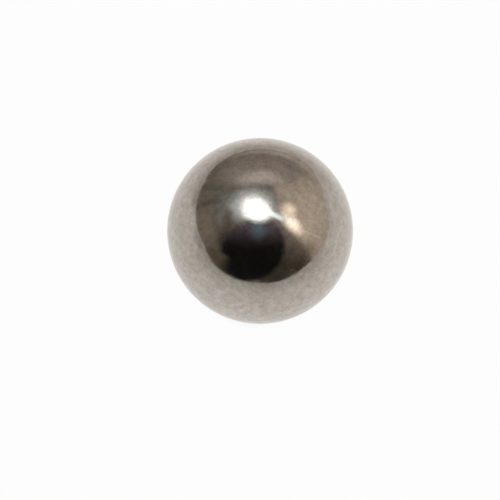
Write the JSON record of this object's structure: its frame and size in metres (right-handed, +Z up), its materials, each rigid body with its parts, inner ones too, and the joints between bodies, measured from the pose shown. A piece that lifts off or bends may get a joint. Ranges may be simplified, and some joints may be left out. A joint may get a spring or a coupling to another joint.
{
  "type": "steel ball",
  "caption": "Loose steel ball: a solid sphere with a mirror-lapped surface and light handling marks, made to roll or sit in a seat, race or socket.",
  "frame": {"origin": "centre of the ball", "axes": "+Z up, away from the surface that the ball lies on; the ball is the same about every axis through its centre"},
  "size_m": [0.0254, 0.0254, 0.0254],
  "materials": {
    "polished_steel": "polished"
  },
  "bodies": {
    "root": {"ball": "polished_steel"}
  },
  "joints": []
}
